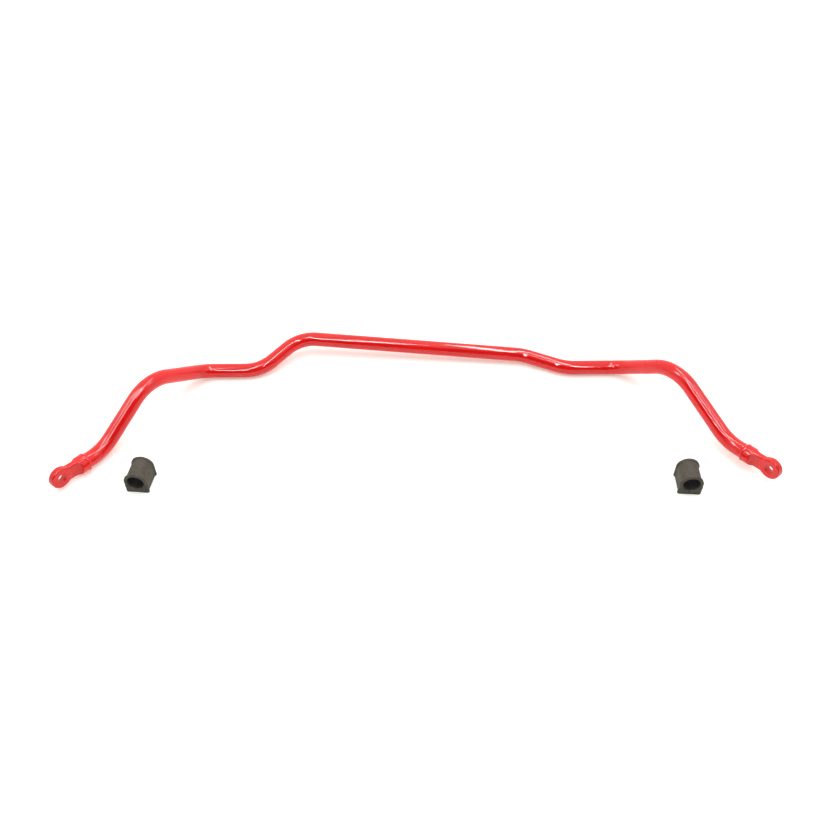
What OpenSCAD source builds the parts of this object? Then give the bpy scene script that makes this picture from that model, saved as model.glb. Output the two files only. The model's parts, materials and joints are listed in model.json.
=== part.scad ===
// Tubular sway bar with two forged end eyes, lying on a floor, and its two loose D bushes.
// Units are millimetres. X runs along the turning axis from left to right, Y points away from the
// arms and Z is up. The origin is the midpoint of the turning axis, one tube radius above the floor.

/* [Tube] */
// Outside diameter of the bar
bar_diameter = 24; // [20:0.5:28]
// Wall thickness of the hollow bar
bar_wall = 3.5; // [2.5:0.25:4.5]

/* [Mounting sections] */
// Distance from the middle to the bend at the outer end of each mounting section
journal_outer = 351.5; // [340:0.5:400]
// Distance from the middle to the bend at the inner end of each mounting section
journal_inner = 257.5; // [240:0.5:268]
// Centreline radius of the bend between a mounting section and its arm
outer_bend_radius = 38; // [32:1:50]

/* [Centre section] */
// Centreline radius of the two bends at the left end of the centre section
centre_left_bend_radius = 60; // [45:1:66]
// Centreline radius of the two bends at the right end of the centre section
centre_right_bend_radius = 78; // [60:1:100]
// Distance from the middle to the bend at the left end of the centre section
centre_left_x = 195; // [170:0.5:200]
// How far the left end of the centre section is set back from the turning axis
centre_left_back = 65; // [50:0.5:90]
// How far the left end of the centre section is raised above the turning axis
centre_left_rise = 17; // [0:0.5:40]
// Distance from the middle to the bend at the right end of the centre section
centre_right_x = 187.5; // [165:0.5:200]
// How far the right end of the centre section is set back from the turning axis
centre_right_back = 32; // [25:0.5:70]
// How far the right end of the centre section is raised above the turning axis
centre_right_rise = 2.5; // [0:0.5:40]

/* [Arms] */
// Angle between an arm and the turning axis, seen from above
arm_angle = 55.5; // [45:0.5:70]
// Centreline radius of the two bends in each arm
arm_bend_radius = 68; // [50:1:80]
// Reach along the left arm to its highest bend
left_crest_reach = 111; // [98:1:124]
// Height of the highest bend of the left arm above the turning axis
left_crest_rise = 62.5; // [50:0.5:78]
// Run of the left arm from its lowest bend to the open end of the barrel
left_end_run = 33.5; // [32.5:0.5:42]
// Drop of the lowest bend of the left arm below its eye centre
left_dip_drop = 11; // [5:0.5:11.5]
// Reach along the left arm to the centre of its eye
left_eye_reach = 299; // [298:0.5:340]
// Reach along the right arm to its highest bend
right_crest_reach = 104; // [98:1:120]
// Height of the highest bend of the right arm above the turning axis
right_crest_rise = 68.5; // [50:0.5:78]
// Run of the right arm from its lowest bend to the open end of the barrel
right_end_run = 34.5; // [32:0.5:45]
// Drop of the lowest bend of the right arm below its eye centre
right_dip_drop = 5.5; // [2:0.5:9]
// Reach along the right arm to the centre of its eye
right_eye_reach = 302; // [299:0.5:340]
// How far the right arm is turned up about the turning axis, in degrees
right_arm_lift = 2.4; // [0:0.1:5]

/* [End eyes] */
// Outside diameter of the eye
eye_diameter = 32.5; // [30:0.5:36]
// Thickness of the eye across its two faces
eye_thickness = 10.5; // [8:0.5:13]
// Diameter of the drop-link hole
eye_hole_diameter = 12; // [8:0.5:14]
// Width of the chamfer at both ends of the hole
hole_chamfer = 0.8; // [0.3:0.1:1.5]
// How far the neck faces lie below the faces of the eye
neck_relief = 0.4; // [0.2:0.1:0.8]
// Width of the neck at its narrowest
neck_width = 24.5; // [20:0.5:25.5]
// How much wider than the tube the barrel of the end fitting is
barrel_extra = 3.5; // [2:0.5:5]
// Distance from the eye centre to the open end of the barrel
barrel_reach = 43; // [40:0.5:44]
// Length of the round barrel
barrel_length = 19; // [16:0.5:20]
// Radius of the cutter run-out where the neck flats rise into the barrel
runout_radius = 8; // [8:0.5:11]
// Length of the short spigot that centres the fitting in the tube
spigot_length = 9; // [4:0.5:10]
// Radial clearance of the spigot in the tube
spigot_clearance = 0.3; // [0.2:0.05:0.5]
// Roll of each eye about its arm: positive turns the inner face up, in degrees
eye_roll = 0; // [-15:1:15]

/* [Weld beads] */
// Length of the weld bead along the tube
weld_length = 4.5; // [3:0.5:6]
// How far the weld bead stands above the barrel
weld_crown = 0.6; // [0.3:0.1:1.2]

/* [Bushes] */
// Length of a bush along its bore
bush_length = 38; // [30:1:42]
// Height of the bore centre above the flat base
bush_centre_height = 20; // [17:0.5:24]
// Wall between the bore and the rounded top
bush_wall = 3.25; // [2.5:0.25:6]
// How far the lip at each end stands proud of the body
lip_height = 1.8; // [1:0.1:3]
// Thickness of each lip along the bore
lip_thickness = 4; // [3:0.5:6]
// Radial clearance between the bar and the bore of a bush
bush_clearance = 0.05; // [0.02:0.01:0.1]
// Width of the cut that lets a bush open over the bar
bush_slit = 0.5; // [0.3:0.1:1]

/* [Resting places of the bushes] */
// Left bush: distance to the left of the middle
left_bush_x = 407; // [385:1:425]
// Left bush: distance in front of the turning axis to the middle of the bush
left_bush_front = 239.5; // [230:0.5:290]
// Left bush: turn about the vertical, in degrees
left_bush_turn = -5.5; // [-15:0.5:15]
// Right bush: distance to the right of the middle
right_bush_x = 403; // [385:1:425]
// Right bush: distance in front of the turning axis to the middle of the bush
right_bush_front = 254; // [230:1:290]
// Right bush: turn about the vertical, in degrees
right_bush_turn = -4.5; // [-15:0.5:15]

/* [Hidden] */
$fn = 96;
bar_r = bar_diameter / 2;
bore_r = bar_r - bar_wall;
floor_z = -bar_r;
eye_r = eye_diameter / 2;
barrel_r = bar_r + barrel_extra / 2;
flat_half = eye_thickness / 2;
neck_half = flat_half - neck_relief;
spigot_r = bore_r - spigot_clearance;
bush_bore_r = bar_r + bush_clearance;
body_r = bush_bore_r + bush_wall;
lip_r = body_r + lip_height;
// The wall is a hair thinner in the bends, and each leg runs a little way into them.
bend_thinning = 0.02;
bend_run_in = 0.4;

red = [0.75, 0.03, 0.03];
rubber = [0.10, 0.095, 0.09];

function unit(v) = v / norm(v);

// A point of an arm from its reach and height: side is -1 for the left arm and 1 for the right.
function arm_point(side, reach, rise) =
    let (
        lift = side > 0 ? right_arm_lift : 0,
        forward = -reach * sin(arm_angle),
        y = forward * cos(lift) + rise * sin(lift),
        z = -forward * sin(lift) + rise * cos(lift)
    )
    [side * (journal_outer + reach * cos(arm_angle)), y, z];

function eye_reach(side) = side > 0 ? right_eye_reach : left_eye_reach;
function end_run(side) = side > 0 ? right_end_run : left_end_run;
// The lowest bend keeps its run to the barrel, so the last leg stays straight where the spigot sits.
function dip_reach(side) = eye_reach(side) - barrel_reach - end_run(side);
function dip_drop(side) = side > 0 ? right_dip_drop : left_dip_drop;

// Before it is lifted, an arm rests on the floor at its weld bead, or at its eye if that is lower.
function bead_drop(side) =
    dip_drop(side) * (barrel_reach + weld_length) / (eye_reach(side) - dip_reach(side));
function eye_rise(side) = floor_z + max(eye_r, barrel_r + weld_crown + bead_drop(side));

function arm_eye(side) = arm_point(side, eye_reach(side), eye_rise(side));
function arm_dip(side) = arm_point(side, dip_reach(side), eye_rise(side) - dip_drop(side));
function arm_crest(side) =
    side > 0
        ? arm_point(side, right_crest_reach, right_crest_rise)
        : arm_point(side, left_crest_reach, left_crest_rise);
// Direction of the last leg of an arm, from its lowest bend to its eye.
function arm_aim(side) = unit(arm_eye(side) - arm_dip(side));
function tube_end(side) = arm_eye(side) - barrel_reach * arm_aim(side);

centreline = [
    tube_end(-1),
    arm_dip(-1),
    arm_crest(-1),
    [-journal_outer, 0, 0],
    [-journal_inner, 0, 0],
    [-centre_left_x, centre_left_back, centre_left_rise],
    [centre_right_x, centre_right_back, centre_right_rise],
    [journal_inner, 0, 0],
    [journal_outer, 0, 0],
    arm_crest(1),
    arm_dip(1),
    tube_end(1)
];
bend_radii = [
    0,
    arm_bend_radius,
    arm_bend_radius,
    outer_bend_radius,
    centre_left_bend_radius,
    centre_left_bend_radius,
    centre_right_bend_radius,
    centre_right_bend_radius,
    outer_bend_radius,
    arm_bend_radius,
    arm_bend_radius,
    0
];
last_point = len(centreline) - 1;

function leg_aim(i) = unit(centreline[i + 1] - centreline[i]);
function bend_angle(i) = acos(leg_aim(i - 1) * leg_aim(i));
function bend_tangent(i) =
    (i == 0 || i == last_point) ? 0 : bend_radii[i] * tan(bend_angle(i) / 2);

// Places its children with their Z axis along the direction aim, at the point start.
module along(start, aim) {
    translate(start)
        rotate([0, acos(aim.z / norm(aim)), atan2(aim.y, aim.x)])
            children();
}

module tube_section(thinning) {
    difference() {
        circle(r = bar_r - thinning);
        circle(r = bore_r + thinning);
    }
}

// A straight leg, run a little way into the bend at each end.
module straight(i) {
    run_in = i == 0 ? 0 : bend_run_in;
    run_out = i + 1 == last_point ? 0 : bend_run_in;
    start = centreline[i] + (bend_tangent(i) - run_in) * leg_aim(i);
    length = norm(centreline[i + 1] - centreline[i]) - bend_tangent(i) - bend_tangent(i + 1);
    along(start, leg_aim(i))
        linear_extrude(height = run_in + length + run_out)
            tube_section(0);
}

module bend(i) {
    into = leg_aim(i - 1);
    out = leg_aim(i);
    start = centreline[i] - bend_tangent(i) * into;
    inward = unit(out - (out * into) * into);
    centre = start + bend_radii[i] * inward;
    normal = cross(-inward, into);
    multmatrix([
        [-inward.x, into.x, normal.x, centre.x],
        [-inward.y, into.y, normal.y, centre.y],
        [-inward.z, into.z, normal.z, centre.z],
        [0, 0, 0, 1]
    ])
        rotate_extrude(angle = bend_angle(i))
            translate([bend_radii[i], 0])
                tube_section(bend_thinning);
}

// The hollow bar: straight legs joined by bends of round section.
module bar_tube() {
    color(red)
        union() {
            for (i = [0 : last_point - 1])
                straight(i);
            for (i = [1 : last_point - 1])
                bend(i);
        }
}

// The eye: a thick disc with eased edges.
module eye_disc() {
    ease = 1.6;
    rotate_extrude()
        polygon([
            [0, -flat_half],
            [eye_r - ease, -flat_half],
            [eye_r - ease * 0.5, -flat_half + ease * 0.134],
            [eye_r - ease * 0.134, -flat_half + ease * 0.5],
            [eye_r, -flat_half + ease],
            [eye_r, flat_half - ease],
            [eye_r - ease * 0.134, flat_half - ease * 0.5],
            [eye_r - ease * 0.5, flat_half - ease * 0.134],
            [eye_r - ease, flat_half],
            [0, flat_half]
        ]);
}

// The drop-link hole, chamfered at both faces of the eye.
module link_hole() {
    hole_r = eye_hole_diameter / 2;
    wide_r = hole_r + hole_chamfer;
    rotate_extrude()
        polygon([
            [0, -flat_half - 1],
            [wide_r + 1, -flat_half - 1],
            [hole_r, -flat_half + hole_chamfer],
            [hole_r, flat_half - hole_chamfer],
            [wide_r + 1, flat_half + 1],
            [0, flat_half + 1]
        ]);
}

// Round stock of the fitting with both faces milled flat, run-outs at the barrel, and a waisted neck.
module neck_and_barrel() {
    flats_end = -(barrel_reach - barrel_length);
    waist_r = 60;
    waist_reach = eye_r + 3;
    difference() {
        translate([-barrel_reach, 0, 0])
            rotate([0, 90, 0])
                cylinder(h = barrel_reach, r = barrel_r);
        for (face = [-1, 1])
            translate([0, 0, face * (neck_half + runout_radius)]) {
                translate([flats_end / 2 + 10, 0, 0])
                    cube([-flats_end + 20, 3 * barrel_r, 2 * runout_radius], center = true);
                translate([flats_end, 0, 0])
                    rotate([90, 0, 0])
                        cylinder(h = 3 * barrel_r, r = runout_radius, center = true);
            }
        for (edge = [-1, 1])
            translate([-waist_reach, edge * (neck_width / 2 + waist_r), 0])
                cylinder(h = 4 * barrel_r, r = waist_r, center = true);
    }
}

module spigot() {
    translate([-barrel_reach - spigot_length, 0, 0])
        rotate([0, 90, 0])
            cylinder(h = spigot_length + 1, r = spigot_r);
}

// One end fitting with the eye at the origin, the hole along Z and the tube towards -X.
module end_fitting() {
    difference() {
        union() {
            eye_disc();
            neck_and_barrel();
            spigot();
        }
        link_hole();
    }
}

// Moves a fitting from its own frame to the end of an arm.
module at_arm_end(side) {
    aim = arm_aim(side);
    level = unit([aim.y, -aim.x, 0]) * side;
    upward = -side * cross(aim, level);
    face = level * cos(eye_roll) + upward * sin(eye_roll);
    across = cross(face, aim);
    centre = arm_eye(side);
    multmatrix([
        [aim.x, across.x, face.x, centre.x],
        [aim.y, across.y, face.y, centre.y],
        [aim.z, across.z, face.z, centre.z],
        [0, 0, 0, 1]
    ])
        children();
}

module left_end_eye() {
    color(red)
        at_arm_end(-1)
            end_fitting();
}

module right_end_eye() {
    color(red)
        at_arm_end(1)
            end_fitting();
}

// Weld ring round the tube against the open end of the barrel.
module weld_bead() {
    crown = barrel_r + weld_crown;
    translate([-barrel_reach, 0, 0])
        rotate([0, -90, 0])
            rotate_extrude()
                polygon([
                    [bar_r, 0],
                    [barrel_r - 0.3, 0],
                    [crown - 0.2, weld_length * 0.15],
                    [crown, weld_length * 0.35],
                    [crown - 0.4, weld_length * 0.6],
                    [bar_r + 1, weld_length * 0.88],
                    [bar_r, weld_length]
                ]);
}

module left_weld_bead() {
    color(red)
        at_arm_end(-1)
            weld_bead();
}

module right_weld_bead() {
    color(red)
        at_arm_end(1)
            weld_bead();
}

// A D-shaped block from y = 0 to y = depth, standing on its flat base, with its round top at radius r.
module d_block(r, depth) {
    translate([0, depth, bush_centre_height])
        rotate([90, 0, 0])
            cylinder(h = depth, r = r);
    translate([-r, 0, 0])
        cube([2 * r, depth, bush_centre_height]);
}

// One bush standing on its flat base, with its bore along Y and its middle at the origin.
module bush() {
    translate([0, -bush_length / 2, 0])
        difference() {
            union() {
                d_block(body_r, bush_length);
                d_block(lip_r, lip_thickness);
                translate([0, bush_length - lip_thickness, 0])
                    d_block(lip_r, lip_thickness);
            }
            translate([0, bush_length + 1, bush_centre_height])
                rotate([90, 0, 0])
                    cylinder(h = bush_length + 2, r = bush_bore_r);
            translate([-bush_slit / 2, -1, -1])
                cube([bush_slit, bush_length + 2, bush_centre_height]);
        }
}

module left_bush() {
    color(rubber)
        translate([-left_bush_x, -left_bush_front, floor_z])
            rotate([0, 0, left_bush_turn])
                bush();
}

module right_bush() {
    color(rubber)
        translate([right_bush_x, -right_bush_front, floor_z])
            rotate([0, 0, right_bush_turn])
                bush();
}

bar_tube();
left_end_eye();
right_end_eye();
left_weld_bead();
right_weld_bead();
left_bush();
right_bush();
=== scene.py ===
import json
import math

import bpy
import numpy as np
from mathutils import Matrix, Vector, noise


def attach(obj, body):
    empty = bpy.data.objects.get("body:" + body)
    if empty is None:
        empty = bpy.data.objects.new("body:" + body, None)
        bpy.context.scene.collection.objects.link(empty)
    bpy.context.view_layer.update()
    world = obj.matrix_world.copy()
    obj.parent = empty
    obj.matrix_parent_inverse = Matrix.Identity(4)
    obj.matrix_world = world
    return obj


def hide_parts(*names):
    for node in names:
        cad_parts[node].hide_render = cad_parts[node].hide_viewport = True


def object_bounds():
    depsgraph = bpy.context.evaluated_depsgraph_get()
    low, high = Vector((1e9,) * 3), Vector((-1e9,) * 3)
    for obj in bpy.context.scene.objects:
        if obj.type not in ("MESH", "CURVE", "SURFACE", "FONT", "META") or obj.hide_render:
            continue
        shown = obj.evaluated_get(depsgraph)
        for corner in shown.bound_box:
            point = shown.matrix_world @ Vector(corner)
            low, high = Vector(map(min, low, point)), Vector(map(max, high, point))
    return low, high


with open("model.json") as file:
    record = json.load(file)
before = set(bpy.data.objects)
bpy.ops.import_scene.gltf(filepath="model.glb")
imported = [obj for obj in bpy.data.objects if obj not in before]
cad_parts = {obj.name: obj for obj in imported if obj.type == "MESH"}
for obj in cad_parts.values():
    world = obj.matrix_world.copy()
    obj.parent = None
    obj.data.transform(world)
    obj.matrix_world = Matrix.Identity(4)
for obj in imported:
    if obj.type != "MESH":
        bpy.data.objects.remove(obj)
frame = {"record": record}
cad_low, cad_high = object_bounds()
MOUNTS = {mount["name"]: mount for mount in frame["record"]["mounts"]}
MM = 0.001

# Sizes of the bar, in millimetres, as the frame has them.
TUBE_R = 12.0
BORE_R = 8.5
JOURNAL_OUTER = 351.5
JOURNAL_INNER = 257.5
OUTER_BEND_R = 38.0
LEFT_BEND_R = 60.0
RIGHT_BEND_R = 78.0
CENTRE_LEFT = (-195.0, 65.0, 17.0)
CENTRE_RIGHT = (187.5, 32.0, 2.5)
ARM_ANGLE = math.radians(55.5)
ARM_BEND_R = 68.0
CREST = {-1: (111.0, 62.5), 1: (104.0, 68.5)}
DIP_REACH = {-1: 222.5, 1: 224.5}
DIP_DROP = {-1: 11.0, 1: 5.5}
RIGHT_LIFT = math.radians(2.4)

# Sizes of an end fitting and its weld bead.
EYE_R = 16.25
EYE_HALF = 5.25
HOLE_R = 6.0
HOLE_CHAMFER = 0.8
NECK_RELIEF = 0.4
NECK_WIDTH = 24.5
BARREL_R = 13.75
BARREL_REACH = 43.0
BARREL_LENGTH = 19.0
RUNOUT_R = 8.0
WAIST_R = 60.0
WAIST_REACH = EYE_R + 3.0
SPIGOT_R = 8.2
SPIGOT_LENGTH = 9.0
WELD_LENGTH = 4.5
WELD_CROWN = 0.6

# Sizes of a bush.
BUSH_LENGTH = 38.0
BUSH_CENTRE = 20.0
BUSH_BORE_R = 12.05
BUSH_BODY_R = 15.3
BUSH_LIP_R = 17.1
LIP_THICKNESS = 4.0
SLIT_HALF = 0.25

# Easing radii of an end fitting.
EYE_EASE = 1.9
FLATS_EASE = 1.2
WAIST_EASE = 3.0
BARREL_END_EASE = 0.6
FORGING_EASE = 2.2
HOLE_EASE = 0.7

# Easing radii of a bush, and the flare at each end of its bore.
BODY_CORNER, BODY_EDGE = 1.0, 0.8
LIP_CORNER, LIP_EDGE = 1.6, 1.1
LIP_EASE = 1.8
BORE_EASE = 0.8
SLIT_EASE = 0.25
FLARE_WIDE, FLARE_DEEP = 0.7, 1.2

# How finely the pieces are meshed, and how far each way a slope is measured.
LEG_STEP = 3.0
BEND_STEP = 1.8
TUBE_SIDES = 96
BEAD_SIDES = 240
FITTING_GRID = 0.45
BUSH_GRID = 0.5
SLIT_STEPS = (-0.6, -0.45, -0.3, -0.15, 0.0, 0.15, 0.3, 0.45, 0.6)
SLOPE_REACH = 0.05

# Forming waves of the tube: length along it, noise scale and shift around it, height on a straight
# leg, and how much is added in the middle of a bend.
TUBE_WAVES = (
    (26.0, 2.6, 0.0, 0.045, 0.105),
    (9.0, 5.0, 7.0, 0.016, 0.075),
)
TUBE_INSET = 0.05

# Unevenness of the fittings, the weld beads and the bushes. The fades are the distances over which
# a bush's waves die out at the base and the slit, and its painted bore shade at the edge and the
# ends.
FORGING_SCALE, FORGING_WAVE, FORGING_INSET, FORGING_SHIFT = 0.11, 0.10, 0.05, 9.0
BEAD_RIPPLES, BEAD_SCALE, BEAD_SHIFT = 38, 1.7, 5.0
BUSH_WAVE, BUSH_INSET = 0.16, 0.08
BASE_FADE, SLIT_FADE, BORE_SHADE_FADE, BORE_END_SHADE_FADE = 2.0, 1.5, 0.4, 1.5

# Linear colours. Each pair is mixed by noise.
PAINT_COLOURS = ((0.69, 0.004, 0.004), (0.79, 0.008, 0.008))
RUBBER_COLOURS = ((0.034, 0.026, 0.015), (0.068, 0.053, 0.032))
# Near black painted into the bush bore as shade.
BORE_SHADE_COLOUR = (0.012, 0.011, 0.010)
FLOOR_COLOURS = ((0.865, 0.850, 0.832), (0.885, 0.870, 0.852))
FLOOR_GLOW = (0.83, 1.0, 0.90, 1)
FLOOR_GLOW_STRENGTH = 0.36
FLOOR_REACH = 6.0

# Studio lights, in metres. A ceiling box has two points of the plan, a side box a place and an aim.
# Then each has its sizes and its glow.
CEILING = 2.0
CEILING_BOXES = (
    ("left_strip", (-1.05, -2.50), (-0.15, -0.75), 0.16, 32.0),
    ("right_rear_strip", (0.27, 1.00), (0.36, -0.50), 0.14, 24.0),
    ("right_front_strip", (0.36, -0.50), (0.88, -1.90), 0.17, 34.0),
    ("centre_patch", (-0.28, -0.45), (0.00, -0.45), 0.14, 30.0),
)
SIDE_BOXES = (
    ("left_side_box", (-1.41, -0.32, 2.19), (-0.45, -0.15, 0), 0.5, 1.25, 13.0),
    ("right_side_box", (1.78, -0.37, 1.98), (0.45, -0.15, 0), 0.45, 0.8, 4.5),
)

# Strength of the white world at the horizon, overhead and in the dim part on the camera's side, and
# where the dim part begins and is complete, along Y and Z of the direction.
WORLD_LOW = 1.05
WORLD_TOP = 1.30
WORLD_DIM = 0.10
DIM_FRONT = (-0.15, -0.55)
DIM_LOW = (0.92, 0.70)

# Camera, from the fit to the photograph's outline.
CAMERA_PLACE = (-0.01523, -1.06908, 0.92157)
CAMERA_PITCH = 43.751
CAMERA_YAW = -0.01319
FOCAL_PX = 832.9
FRAME_PX = 825.0
SENSOR = 36.0


# --- mesh helpers -------------------------------------------------------------------------------


def new_mesh(name, points, faces):
    """A smooth-shaded mesh object from points in millimetres."""
    mesh = bpy.data.meshes.new(name)
    mesh.from_pydata((np.asarray(points) * MM).tolist(), [], faces)
    mesh.polygons.foreach_set("use_smooth", [True] * len(mesh.polygons))
    mesh.update()
    piece = bpy.data.objects.new(name, mesh)
    bpy.context.scene.collection.objects.link(piece)
    return piece


def smooth_min(a, b, blend):
    h = np.maximum(blend - np.abs(a - b), 0.0) / blend
    return np.minimum(a, b) - h * h * blend * 0.25


def smooth_max(a, b, blend):
    return -smooth_min(-a, -b, blend)


def rounded_cap(outline, along, half, edge):
    """Distance to an outline drawn out to half each way, with its edges eased."""
    a = outline + edge
    b = np.abs(along) - half + edge
    return np.minimum(np.maximum(a, b), 0) + np.hypot(np.maximum(a, 0), np.maximum(b, 0)) - edge


def spaced(low, high, step):
    """Even steps from low to high, none wider than step."""
    return np.linspace(low, high, int(math.ceil((high - low) / step)) + 1)


def gradient(field, points, reach):
    """Slope of a field at each point, by differences over reach each way."""
    out = np.empty_like(points)
    for axis in range(3):
        offset = np.zeros(3)
        offset[axis] = reach
        out[:, axis] = field(points + offset) - field(points - offset)
    return out / (2.0 * reach)


def net_surface(field, axes):
    """Points and quads over the zero surface of a field that is negative inside."""
    grid = np.stack(np.meshgrid(*axes, indexing="ij"), axis=-1)
    value = field(grid)
    cells = tuple(n - 1 for n in value.shape)
    total = np.zeros(cells + (3,))
    hits = np.zeros(cells)
    rings = []
    for axis in range(3):
        near = [slice(None)] * 3
        far = [slice(None)] * 3
        near[axis] = slice(0, -1)
        far[axis] = slice(1, None)
        near, far = tuple(near), tuple(far)
        start, end = value[near], value[far]
        crossed = np.argwhere((start < 0) != (end < 0))
        pick = tuple(crossed.T)
        share = (start[pick] / (start[pick] - end[pick]))[:, None]
        points = grid[near][pick] * (1 - share) + grid[far][pick] * share
        side_a, side_b = [k for k in range(3) if k != axis]
        around = []
        for back_a, back_b in ((0, 0), (1, 0), (1, 1), (0, 1)):
            cell = crossed.copy()
            cell[:, side_a] -= back_a
            cell[:, side_b] -= back_b
            np.add.at(total, tuple(cell.T), points)
            np.add.at(hits, tuple(cell.T), 1)
            around.append(cell)
        rings.append((around, (start[pick] < 0) != (axis == 1)))
    used = hits > 0
    number = np.full(cells, -1)
    number[used] = np.arange(used.sum())
    points = total[used] / hits[used][:, None]
    quads = []
    for around, outward in rings:
        quad = np.stack([number[tuple(cell.T)] for cell in around], axis=1)
        quads.append(np.where(outward[:, None], quad, quad[:, ::-1]))
    quads = np.concatenate(quads)
    for _ in range(3):
        slope = gradient(field, points, 0.02)
        steep = np.maximum(np.sum(slope * slope, axis=1), 0.25)
        points = points - slope * (field(points) / steep)[:, None]
    return points, quads.tolist()


def push_out(field, points, push):
    """The points moved along the field's slope, by push millimetres each."""
    slopes = gradient(field, points, SLOPE_REACH)
    slopes /= np.maximum(np.linalg.norm(slopes, axis=1), 0.2)[:, None]
    return points + slopes * push[:, None]


# --- the bar's centreline -----------------------------------------------------------------------


def unit(v):
    v = np.asarray(v, float)
    return v / np.linalg.norm(v)


def arm_point(side, reach, rise):
    """A point of an arm, from its run out of the outer bend and its height, turned by the lift."""
    lift = RIGHT_LIFT if side > 0 else 0.0
    forward = -reach * math.sin(ARM_ANGLE)
    return np.array([
        side * (JOURNAL_OUTER + reach * math.cos(ARM_ANGLE)),
        forward * math.cos(lift) + rise * math.sin(lift),
        -forward * math.sin(lift) + rise * math.cos(lift),
    ])


def mount_point(name):
    """Place of a mount of the frame, in millimetres."""
    return np.array(MOUNTS[name]["pos_m"]) / MM


EYE_POINT = {-1: mount_point("left_link_eye"), 1: mount_point("right_link_eye")}


def arm_dip(side):
    """The lowest bend, from the eye's mount turned back by the arm's lift."""
    lift = RIGHT_LIFT if side > 0 else 0.0
    _, y, z = EYE_POINT[side]
    eye_rise = z * math.cos(lift) + y * math.sin(lift)
    return arm_point(side, DIP_REACH[side], eye_rise - DIP_DROP[side])


DIP_POINT = {side: arm_dip(side) for side in (-1, 1)}
ARM_AIM = {side: unit(EYE_POINT[side] - DIP_POINT[side]) for side in (-1, 1)}


def bar_vertices():
    """Corners of the bar from the left barrel to the right one, and the radius of each bend."""
    left = [EYE_POINT[-1] - BARREL_REACH * ARM_AIM[-1], DIP_POINT[-1], arm_point(-1, *CREST[-1])]
    right = [arm_point(1, *CREST[1]), DIP_POINT[1], EYE_POINT[1] - BARREL_REACH * ARM_AIM[1]]
    middle = [
        (-JOURNAL_OUTER, 0, 0),
        (-JOURNAL_INNER, 0, 0),
        CENTRE_LEFT,
        CENTRE_RIGHT,
        (JOURNAL_INNER, 0, 0),
        (JOURNAL_OUTER, 0, 0),
    ]
    radii = [0, ARM_BEND_R, ARM_BEND_R, OUTER_BEND_R] + [LEFT_BEND_R] * 2 + [RIGHT_BEND_R] * 2
    radii += [OUTER_BEND_R, ARM_BEND_R, ARM_BEND_R, 0]
    return [np.array(v, float) for v in left + middle + right], radii


def centreline(leg_step, bend_step):
    """Points along the bar, and how far each is inside a bend, from 0 to 1."""
    corners, radii = bar_vertices()
    points, bent = [corners[0]], [0.0]
    for i in range(1, len(corners) - 1):
        into = unit(corners[i] - corners[i - 1])
        out = unit(corners[i + 1] - corners[i])
        angle = math.acos(float(into @ out))
        run = radii[i] * math.tan(angle / 2)
        start = corners[i] - run * into
        inward = unit(out - (out @ into) * into)
        centre = start + radii[i] * inward
        legs = max(2, int(np.linalg.norm(start - points[-1]) / leg_step))
        for k in range(1, legs):
            points.append(points[-1] + (start - points[-1]) / (legs - k + 1))
            bent.append(0.0)
        steps = max(4, int(radii[i] * angle / bend_step))
        for k in range(steps + 1):
            turn = angle * k / steps
            points.append(centre - radii[i] * (inward * math.cos(turn) - into * math.sin(turn)))
            bent.append(math.sin(math.pi * k / steps))
    last = corners[-1]
    legs = max(2, int(np.linalg.norm(last - points[-1]) / leg_step))
    for k in range(legs):
        points.append(points[-1] + (last - points[-1]) / (legs - k))
        bent.append(0.0)
    return np.array(points), np.array(bent)


def ring_frames(points):
    """Two steady cross directions at each point, carried along without twist."""
    tangents = np.gradient(points, axis=0)
    tangents /= np.linalg.norm(tangents, axis=1)[:, None]
    across = unit(np.cross(tangents[0], [0, 0, 1.0]))
    sides = []
    for tangent in tangents:
        across = unit(across - (across @ tangent) * tangent)
        sides.append(across.copy())
    sides = np.array(sides)
    return sides, np.cross(tangents, sides)


def make_tube():
    """The hollow tube: outside with forming waves, plain bore, and a ring of faces at each end."""
    around = TUBE_SIDES
    points, bent = centreline(LEG_STEP, BEND_STEP)
    sides, ups = ring_frames(points)
    travel = np.r_[0, np.cumsum(np.linalg.norm(np.diff(points, axis=0), axis=1))]
    angles = np.linspace(0, 2 * math.pi, around, endpoint=False)
    rows = []
    for i, point in enumerate(points):
        row = []
        for angle in angles:
            c, s = math.cos(angle), math.sin(angle)
            wave = 0.0
            for length, scale, shift, height, bend_height in TUBE_WAVES:
                spot = Vector((travel[i] / length, c * scale + shift, s * scale))
                wave += noise.noise(spot) * (height + bend_height * bent[i])
            row.append(point + (TUBE_R - TUBE_INSET + wave) * (c * sides[i] + s * ups[i]))
        rows.append(row)
    outer = np.array(rows).reshape(-1, 3)
    inner = np.array([
        point + BORE_R * (math.cos(a) * side + math.sin(a) * up)
        for point, side, up in zip(points, sides, ups) for a in angles
    ])
    bore = len(points) * around
    end = bore - around
    faces = []
    for i in range(len(points) - 1):
        for j in range(around):
            k = (j + 1) % around
            a, b = i * around + j, i * around + k
            c, d = (i + 1) * around + k, (i + 1) * around + j
            faces.append((a, b, c, d))
            faces.append((bore + d, bore + c, bore + b, bore + a))
    for j in range(around):
        k = (j + 1) % around
        faces.append((j, bore + j, bore + k, k))
        faces.append((end + k, bore + end + k, bore + end + j, end + j))
    return new_mesh("bar_tube_painted", np.vstack([outer, inner]), faces)


# --- end fittings -------------------------------------------------------------------------------


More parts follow.
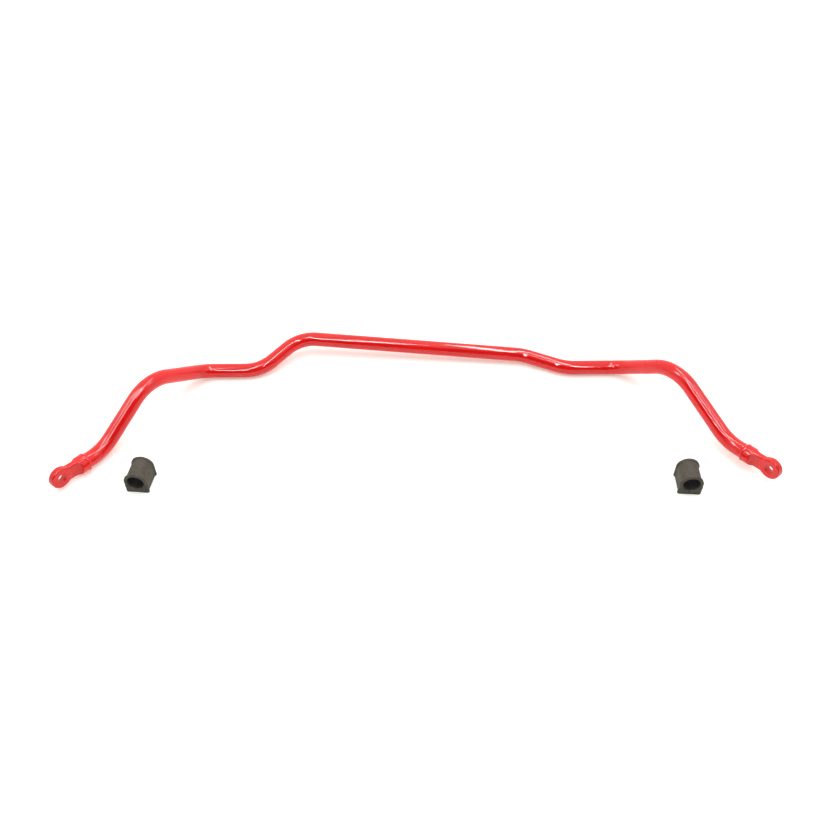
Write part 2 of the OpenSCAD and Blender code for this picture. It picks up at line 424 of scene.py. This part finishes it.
def end_fitting_field(p):
    """A forged fitting: the eye at the origin, its hole along Z and the tube towards -X."""
    x, y, z = p[..., 0], p[..., 1], p[..., 2]
    disc = rounded_cap(np.hypot(x, y) - EYE_R, z, EYE_HALF, EYE_EASE)

    flats_end = -(BARREL_REACH - BARREL_LENGTH)
    neck_half = EYE_HALF - NECK_RELIEF
    stock = np.maximum(np.hypot(y, z) - BARREL_R, x)
    flat = np.abs(z) - neck_half
    runout = RUNOUT_R - np.hypot(x - flats_end, np.abs(z) - neck_half - RUNOUT_R)
    milled = np.where(x > flats_end, flat, np.where(np.abs(z) > neck_half, runout, flat))
    stock = smooth_max(stock, milled, FLATS_EASE)
    waist = WAIST_R - np.hypot(x + WAIST_REACH, np.abs(y) - NECK_WIDTH / 2 - WAIST_R)
    stock = smooth_max(stock, waist, WAIST_EASE)
    stock = smooth_max(stock, -(x + BARREL_REACH), BARREL_END_EASE)

    body = smooth_min(disc, stock, FORGING_EASE)
    spigot = np.maximum(np.hypot(y, z) - SPIGOT_R, np.abs(x + BARREL_REACH) - SPIGOT_LENGTH)
    body = np.minimum(body, spigot)

    wide = np.maximum(np.abs(z) - EYE_HALF + HOLE_CHAMFER, 0)
    hole = HOLE_R + wide - np.hypot(x, y)
    return smooth_max(body, hole, HOLE_EASE)


def fitting_frame(side):
    """Matrix from a fitting's own frame to the end of an arm, from the eye's mount."""
    name = "left_link_eye" if side < 0 else "right_link_eye"
    aim = ARM_AIM[side]
    face = np.array(MOUNTS[name]["axis"])
    face = unit(face - (face @ aim) * aim)
    return np.stack([aim, np.cross(face, aim), face], axis=1), EYE_POINT[side]


def make_fitting(side, points, faces, name):
    """An end fitting with the slight unevenness of a forging."""
    turn, centre = fitting_frame(side)
    waves = np.array([
        noise.noise(Vector(q) * FORGING_SCALE + Vector((side * FORGING_SHIFT, 0, 0)))
        for q in points.tolist()
    ])
    shaped = push_out(end_fitting_field, points, waves * FORGING_WAVE - FORGING_INSET)
    return new_mesh(name, shaped @ turn.T + centre, faces)


def make_bead(side, name):
    """A weld ring with a soft scale pattern under the paint."""
    turn, centre = fitting_frame(side)
    crown = BARREL_R + WELD_CROWN
    # Points around the ring's section: how far past the barrel's end, towards the eye, and the
    # radius. The first ten are its outside.
    profile = [
        (0.9, BARREL_R - 0.35),
        (0.6, BARREL_R + 0.02),
        (0.0, BARREL_R + 0.22),
        (-0.7, crown - 0.22),
        (-1.6, crown - 0.1),
        (-2.5, crown - 0.35),
        (-3.3, crown - 0.95),
        (-3.9, TUBE_R + 0.75),
        (-4.3, TUBE_R + 0.28),
        (-WELD_LENGTH, TUBE_R - 0.1),
        (-WELD_LENGTH, TUBE_R - 0.4),
        (0.9, TUBE_R - 0.4),
    ]
    last_outside = 9
    points = []
    for j in range(BEAD_SIDES):
        angle = 2 * math.pi * j / BEAD_SIDES
        c, s = math.cos(angle), math.sin(angle)
        drift = noise.noise(Vector((c * BEAD_SCALE, s * BEAD_SCALE, side * BEAD_SHIFT)))
        for k, (x, r) in enumerate(profile):
            height = max(0.0, math.sin(math.pi * min(k, last_outside) / last_outside))
            scale = math.sin(BEAD_RIPPLES * angle + 0.55 * x + 1.5 * drift)
            if k <= last_outside:
                r += height * (0.10 * scale - 0.08 + 0.12 * drift)
            points.append((-BARREL_REACH + x + 0.22 * drift * height, r * c, r * s))
    sides = len(profile)
    faces = []
    for j in range(BEAD_SIDES):
        here, ahead = j * sides, (j + 1) % BEAD_SIDES * sides
        for k in range(sides):
            m = (k + 1) % sides
            faces.append((here + k, here + m, ahead + m, ahead + k))
    return new_mesh(name, np.array(points) @ turn.T + centre, faces)


# --- bushes -------------------------------------------------------------------------------------


def d_outline(x, z, r, corner):
    """Distance to a D shape: a round top on straight sides, with eased base corners."""
    side = np.where(z > BUSH_CENTRE, np.hypot(x, z - BUSH_CENTRE), np.abs(x)) - r
    low = -z
    a = np.maximum(side + corner, 0)
    b = np.maximum(low + corner, 0)
    return np.minimum(np.maximum(side, low) + corner, 0) + np.hypot(a, b) - corner


def bush_field(p):
    """A D bush: bore along Y, middle of the base at the origin."""
    x, y, z = p[..., 0], p[..., 1], p[..., 2]
    half = BUSH_LENGTH / 2
    body = rounded_cap(d_outline(x, z, BUSH_BODY_R, BODY_CORNER), y, half, BODY_EDGE)
    lip_half = LIP_THICKNESS / 2
    lip_outline = d_outline(x, z, BUSH_LIP_R, LIP_CORNER)
    lips = rounded_cap(lip_outline, np.abs(y) - (half - lip_half), lip_half, LIP_EDGE)
    whole = smooth_min(body, lips, LIP_EASE)
    flare = FLARE_WIDE * np.clip((np.abs(y) - half + FLARE_DEEP) / FLARE_DEEP, 0, 1) ** 2
    bore = BUSH_BORE_R + flare - np.hypot(x, z - BUSH_CENTRE)
    whole = smooth_max(whole, bore, BORE_EASE)
    slit = np.maximum(np.abs(x) - SLIT_HALF, z - BUSH_CENTRE)
    return smooth_max(whole, -slit, SLIT_EASE)


def make_bush(name, mount, points, faces, seed):
    """A bush with slight waves, still flat on its base and along its slit."""
    base = mount_point(mount)
    base[2] -= BUSH_CENTRE
    along = -np.array(MOUNTS[mount]["axis"])
    across = np.array([along[1], -along[0], 0.0])
    turn = np.stack([across, along, np.array([0.0, 0.0, 1.0])], axis=1)
    waves = np.array([
        noise.noise(Vector(q) * 0.09 + Vector((seed, 0, 0)))
        + 0.35 * noise.noise(Vector(q) * 0.45 + Vector((0, seed, 0)))
        for q in points.tolist()
    ])
    push = waves * BUSH_WAVE - BUSH_INSET
    push *= np.clip(points[:, 2] / BASE_FADE, 0, 1)
    push *= np.clip((np.abs(points[:, 0]) - SLIT_STEPS[-1]) / SLIT_FADE, 0, 1)
    shaped = push_out(bush_field, points, push)
    shaped[:, 2] = np.maximum(shaped[:, 2], 0.0)
    piece = new_mesh(name, shaped @ turn.T + base, faces)
    # Mask of painted shade in the bore: full deep inside, fading out towards the bore's edge and
    # both ends.
    inside = BUSH_BORE_R + 0.5 - np.hypot(points[:, 0], points[:, 2] - BUSH_CENTRE)
    from_end = BUSH_LENGTH / 2 - np.abs(points[:, 1])
    bore_shade = np.clip(inside / BORE_SHADE_FADE, 0, 1) * np.clip(from_end / BORE_END_SHADE_FADE, 0, 1)
    layer = piece.data.attributes.new("bore_shade_mask", "FLOAT", "POINT")
    layer.data.foreach_set("value", bore_shade.astype(np.float32))
    return piece


# --- materials ----------------------------------------------------------------------------------


def node(tree, kind, inputs=(), **settings):
    """A new node with its settings and the values of its inputs."""
    made = tree.nodes.new(kind)
    for key, value in settings.items():
        setattr(made, key, value)
    for key, value in dict(inputs).items():
        made.inputs[key].default_value = value
    return made


def remap(tree, source, low, high, start=0.3, end=0.7, **settings):
    """The source from start to end, as low to high. Noise keeps mostly between 0.3 and 0.7."""
    made = node(tree, "ShaderNodeMapRange", {
        "From Min": start, "From Max": end, "To Min": low, "To Max": high}, **settings)
    tree.links.new(source, made.inputs["Value"])
    return made.outputs["Result"]


def grain(tree, coords, scale, detail=2.0, rough=0.5):
    made = node(tree, "ShaderNodeTexNoise", {"Scale": scale, "Detail": detail, "Roughness": rough})
    tree.links.new(coords, made.inputs["Vector"])
    return made.outputs["Fac"]


def mix_colours(tree, factor, first, second):
    """A mix of two colours, each a tuple or another node's output."""
    made = node(tree, "ShaderNodeMix", data_type="RGBA")
    for colour, end in ((first, "A"), (second, "B")):
        if isinstance(colour, tuple):
            made.inputs[end].default_value = (*colour, 1)
        else:
            tree.links.new(colour, made.inputs[end])
    tree.links.new(factor, made.inputs["Factor"])
    return made.outputs["Result"]


def add_bump(tree, height, distance, strength, below=None):
    """A bump normal, over another one where below is given."""
    made = node(tree, "ShaderNodeBump", {"Strength": strength, "Distance": distance})
    tree.links.new(height, made.inputs["Height"])
    if below is not None:
        tree.links.new(below, made.inputs["Normal"])
    return made.outputs["Normal"]


def new_material(name):
    """A material with its tree, its shader and its object coordinates."""
    material = bpy.data.materials.new(name)
    material.use_nodes = True
    tree = material.node_tree
    coords = node(tree, "ShaderNodeTexCoord").outputs["Object"]
    return material, tree, tree.nodes["Principled BSDF"], coords


def paint_material():
    """Glossy red coat with orange peel, a little sag and slight shifts of depth."""
    material, tree, shader, coords = new_material("gloss_red_paint")
    depth = remap(tree, grain(tree, coords, 22.0, 3.0), 0.0, 1.0)
    colour = mix_colours(tree, depth, *PAINT_COLOURS)
    tree.links.new(colour, shader.inputs["Base Color"])
    gloss = remap(tree, grain(tree, coords, 140.0, 3.0), 0.045, 0.09)
    tree.links.new(gloss, shader.inputs["Roughness"])
    sag = add_bump(tree, grain(tree, coords, 95.0, 1.0), 0.00022, 0.45)
    peel = add_bump(tree, grain(tree, coords, 420.0, 2.0, 0.4), 0.00004, 0.45, sag)
    tree.links.new(peel, shader.inputs["Normal"])
    shader.inputs["IOR"].default_value = 1.5
    return material


def rubber_material():
    """Matt moulded rubber: dusty mottling, painted shade darkening the bore, fine grain and small
    pits.
    """
    material, tree, shader, coords = new_material("matt_rubber")
    bore = node(tree, "ShaderNodeAttribute", attribute_name="bore_shade_mask").outputs["Fac"]
    mottle = remap(tree, grain(tree, coords, 110.0, 4.0, 0.6), 0.0, 1.0)
    outside = mix_colours(tree, mottle, *RUBBER_COLOURS)
    # Painted shade: the bore is mixed towards near black where the mask is full.
    colour = mix_colours(tree, bore, outside, BORE_SHADE_COLOUR)
    tree.links.new(colour, shader.inputs["Base Color"])
    matt = remap(tree, grain(tree, coords, 300.0, 3.0), 0.60, 0.85)
    tree.links.new(matt, shader.inputs["Roughness"])
    broad = add_bump(tree, grain(tree, coords, 180.0, 3.0), 0.0004, 0.5)
    fine = add_bump(tree, grain(tree, coords, 1500.0, 2.0), 0.00012, 0.5, broad)
    tree.links.new(fine, shader.inputs["Normal"])
    return material


def floor_material():
    """Matt pale floor with a faint glow, as under a light tent."""
    material, tree, shader, coords = new_material("pale_floor")
    tone = remap(tree, grain(tree, coords, 3.0), 0.0, 1.0)
    colour = mix_colours(tree, tone, *FLOOR_COLOURS)
    tree.links.new(colour, shader.inputs["Base Color"])
    shader.inputs["Roughness"].default_value = 0.9
    shader.inputs["Specular IOR Level"].default_value = 0.1
    shader.inputs["Emission Color"].default_value = FLOOR_GLOW
    shader.inputs["Emission Strength"].default_value = FLOOR_GLOW_STRENGTH
    return material


# --- pieces -------------------------------------------------------------------------------------


def dress(piece, material, body, cad_node):
    piece.data.materials.append(material)
    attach(piece, body)
    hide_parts(cad_node)


def make_fittings(paint):
    """Both end fittings from one mesh, and a weld bead at each."""
    axes = (
        spaced(-BARREL_REACH - SPIGOT_LENGTH - 1, EYE_R + 1, FITTING_GRID),
        spaced(-EYE_R - 1, EYE_R + 1, FITTING_GRID),
        spaced(-BARREL_R - 1, BARREL_R + 1, FITTING_GRID),
    )
    points, faces = net_surface(end_fitting_field, axes)
    for side, hand in ((-1, "left"), (1, "right")):
        fitting = make_fitting(side, points, faces, hand + "_eye_forging")
        dress(fitting, paint, "bar", hand + "_end_eye")
        dress(make_bead(side, hand + "_weld_ring"), paint, "bar", hand + "_weld_bead")


def make_bushes(rubber):
    """Both bushes from one mesh, with finer steps across the slit."""
    edge = BUSH_LIP_R + 1
    axes = (
        np.r_[spaced(-edge, -1.1, BUSH_GRID), SLIT_STEPS, spaced(1.1, edge, BUSH_GRID)],
        spaced(-BUSH_LENGTH / 2 - 1, BUSH_LENGTH / 2 + 1, BUSH_GRID),
        spaced(-1, BUSH_CENTRE + BUSH_LIP_R + 1, BUSH_GRID),
    )
    points, faces = net_surface(bush_field, axes)
    for hand, seed in (("left", 3.0), ("right", 11.0)):
        bush = make_bush(hand + "_bush_rubber", hand + "_bush_bore", points, faces, seed)
        dress(bush, rubber, hand + "_bush", hand + "_bush")


# --- studio -------------------------------------------------------------------------------------


def softbox(name, place, turn, length, width, glow, seen=True):
    """A rectangular studio light, either seen in the gloss or lighting the matt surfaces."""
    data = bpy.data.lights.new(name, "AREA")
    data.shape = "RECTANGLE"
    data.size = length
    data.size_y = width
    data.energy = glow * math.pi * length * width
    light = bpy.data.objects.new(name, data)
    light.location = place
    light.rotation_euler = turn
    light.visible_diffuse = not seen
    light.visible_glossy = seen
    bpy.context.scene.collection.objects.link(light)


def ceiling_box(name, start, end, width, glow):
    """A long softbox under the ceiling, between two points of the plan."""
    (x0, y0), (x1, y1) = start, end
    place = ((x0 + x1) / 2, (y0 + y1) / 2, CEILING)
    turn = (0, 0, math.atan2(y1 - y0, x1 - x0))
    softbox(name, place, turn, math.hypot(x1 - x0, y1 - y0), width, glow)


def side_box(name, place, aim, length, width, glow):
    """A softbox at a place, turned to face the aim."""
    turn = (Vector(aim) - Vector(place)).to_track_quat("-Z", "Y").to_euler()
    softbox(name, place, turn, length, width, glow)


def soft_step(tree, source, start, end, low=0.0, high=1.0):
    return remap(tree, source, low, high, start, end, interpolation_type="SMOOTHSTEP")


def studio_world():
    """A white studio: bright above and behind, dim low down on the camera's side."""
    world = bpy.data.worlds.new("studio")
    bpy.context.scene.world = world
    world.use_nodes = True
    tree = world.node_tree
    way = node(tree, "ShaderNodeTexCoord").outputs["Generated"]
    split = node(tree, "ShaderNodeSeparateXYZ")
    tree.links.new(way, split.inputs["Vector"])
    front = soft_step(tree, split.outputs["Y"], *DIM_FRONT)
    low = soft_step(tree, split.outputs["Z"], *DIM_LOW)
    dim = node(tree, "ShaderNodeMath", operation="MULTIPLY")
    tree.links.new(front, dim.inputs[0])
    tree.links.new(low, dim.inputs[1])
    sky = soft_step(tree, split.outputs["Z"], 0.0, 1.0, WORLD_LOW, WORLD_TOP)
    level = node(tree, "ShaderNodeMix", data_type="FLOAT")
    tree.links.new(dim.outputs[0], level.inputs["Factor"])
    tree.links.new(sky, level.inputs["A"])
    level.inputs["B"].default_value = WORLD_DIM
    background = tree.nodes["Background"]
    background.inputs["Color"].default_value = (1, 1, 1, 1)
    tree.links.new(level.outputs["Result"], background.inputs["Strength"])


def make_floor():
    """A square of floor under the lowest point of the part."""
    corners = ((-1, -1), (1, -1), (1, 1), (-1, 1))
    mesh = bpy.data.meshes.new("floor")
    mesh.from_pydata(
        [(x * FLOOR_REACH, y * FLOOR_REACH, cad_low.z) for x, y in corners], [], [(0, 1, 2, 3)])
    floor = bpy.data.objects.new("floor", mesh)
    bpy.context.scene.collection.objects.link(floor)
    floor.data.materials.append(floor_material())


def make_camera():
    data = bpy.data.cameras.new("camera")
    data.sensor_width = SENSOR
    data.lens = SENSOR * FOCAL_PX / FRAME_PX
    camera = bpy.data.objects.new("camera", data)
    camera.location = CAMERA_PLACE
    camera.rotation_euler = (math.radians(90 - CAMERA_PITCH), 0, CAMERA_YAW)
    bpy.context.scene.collection.objects.link(camera)
    bpy.context.scene.camera = camera


# --- scene --------------------------------------------------------------------------------------

paint = paint_material()
rubber = rubber_material()
dress(make_tube(), paint, "bar", "bar_tube")
make_fittings(paint)
make_bushes(rubber)

softbox("overhead_fill", (0, -0.1, 2.3), (0, 0, 0), 2.4, 2.0, 1.6, seen=False)
for box in CEILING_BOXES:
    ceiling_box(*box)
for box in SIDE_BOXES:
    side_box(*box)
studio_world()
bpy.context.scene.view_settings.view_transform = "Standard"
make_floor()
make_camera()
